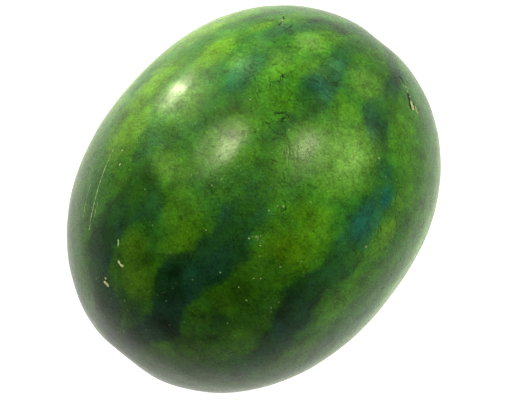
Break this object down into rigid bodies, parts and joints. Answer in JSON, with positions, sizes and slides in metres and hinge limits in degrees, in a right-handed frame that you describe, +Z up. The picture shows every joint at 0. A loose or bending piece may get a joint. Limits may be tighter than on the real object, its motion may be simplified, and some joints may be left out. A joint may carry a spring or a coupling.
{
  "type": "watermelon",
  "caption": "Whole oval watermelon lying on its side, blunt at the blossom end, with a dark-striped, mottled green rind and a small flat spot to rest on.",
  "frame": {"origin": "under the middle of the fruit's box, on the surface it rests on", "axes": "+X along the fruit's core line from the stem end to the blunt blossom end, +Z up, +Y across"},
  "size_m": [0.2704, 0.223, 0.2205],
  "materials": {
    "rind": "waxy satin rind, dark green stripes over mottled yellow-green, with pale corky scars and a creamy spot underneath"
  },
  "bodies": {
    "root": {"watermelon": "rind"}
  },
  "joints": []
}
